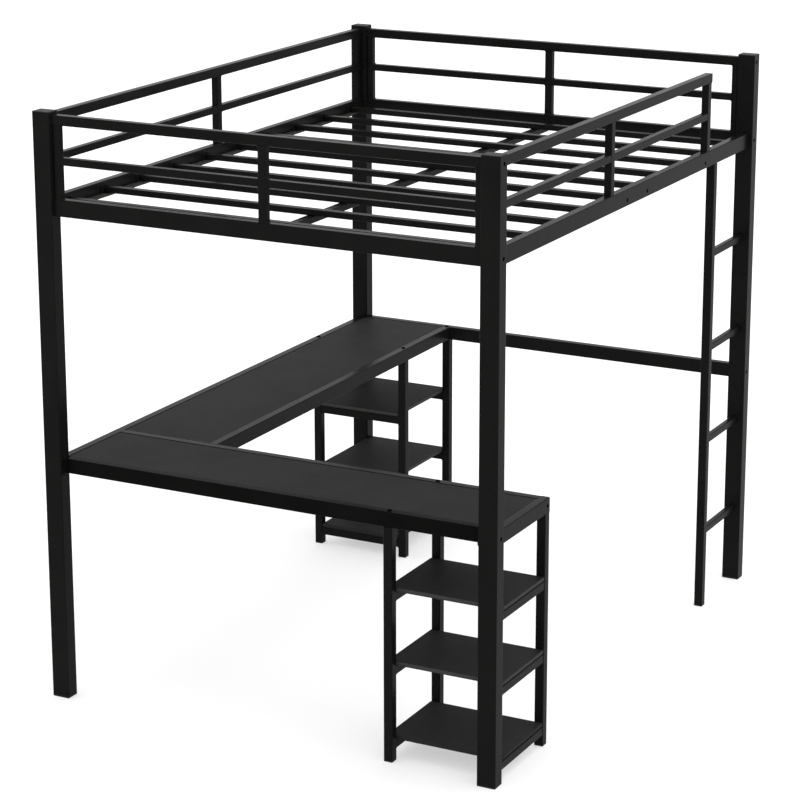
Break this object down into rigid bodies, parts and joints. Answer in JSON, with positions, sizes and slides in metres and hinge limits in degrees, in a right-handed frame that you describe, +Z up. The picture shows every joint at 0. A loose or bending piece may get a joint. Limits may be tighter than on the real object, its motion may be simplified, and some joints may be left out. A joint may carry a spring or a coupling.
{
  "type": "loft bed with desk",
  "caption": "Loft bed in black steel tube with a slatted deck, low guards and a ladder, over an L-shaped desk of dark boards and two open shelf stands.",
  "frame": {"origin": "on the floor, under the middle of the four posts' outline", "axes": "+X along the bed's length towards the ladder end, +Z up, and the ladder and open side on -Y"},
  "size_m": [2.103, 1.597, 1.93],
  "materials": {
    "powder_coated_steel": "fine-textured black powder coat, low sheen",
    "charcoal_board": "laminated board, dark charcoal, matt",
    "black_plastic": "moulded black plastic, matt"
  },
  "bodies": {
    "root": {"post_back_left": "powder_coated_steel", "post_front_left": "powder_coated_steel", "post_front_right": "powder_coated_steel", "post_back_right": "powder_coated_steel", "end_panel_left": "powder_coated_steel", "end_panel_right": "powder_coated_steel", "side_rail_front": "powder_coated_steel", "side_rail_back": "powder_coated_steel", "guard_back": "powder_coated_steel", "guard_front": "powder_coated_steel", "slat_1": "powder_coated_steel", "slat_2": "powder_coated_steel", "slat_3": "powder_coated_steel", "slat_4": "powder_coated_steel", "slat_5": "powder_coated_steel", "slat_6": "powder_coated_steel", "slat_7": "powder_coated_steel", "slat_8": "powder_coated_steel", "slat_9": "powder_coated_steel", "slat_10": "powder_coated_steel", "centre_beam": "powder_coated_steel", "ladder": "powder_coated_steel", "desk_rail_left": "powder_coated_steel", "desk_rail_end": "powder_coated_steel", "desk_rail_inner": "powder_coated_steel", "desk_rail_front": "powder_coated_steel", "desk_rail_back": "powder_coated_steel", "desk_rail_right": "powder_coated_steel", "left_stand_back_frame": "powder_coated_steel", "left_stand_front_frame": "powder_coated_steel", "right_stand_left_frame": "powder_coated_steel", "right_stand_right_frame": "powder_coated_steel", "desk_board_short": "charcoal_board", "desk_board_long": "charcoal_board", "left_shelf_1": "charcoal_board", "left_shelf_2": "charcoal_board", "left_shelf_3": "charcoal_board", "right_shelf_1": "charcoal_board", "right_shelf_2": "charcoal_board", "right_shelf_3": "charcoal_board", "post_cap_back_left": "black_plastic", "post_cap_front_left": "black_plastic", "post_cap_front_right": "black_plastic", "post_cap_back_right": "black_plastic", "post_foot_back_left": "black_plastic", "post_foot_front_left": "black_plastic", "post_foot_front_right": "black_plastic", "post_foot_back_right": "black_plastic", "ladder_foot": "black_plastic", "left_stand_foot_1": "black_plastic", "left_stand_foot_2": "black_plastic", "left_stand_foot_3": "black_plastic", "right_stand_foot_1": "black_plastic", "right_stand_foot_2": "black_plastic", "right_stand_foot_3": "black_plastic"}
  },
  "joints": []
}
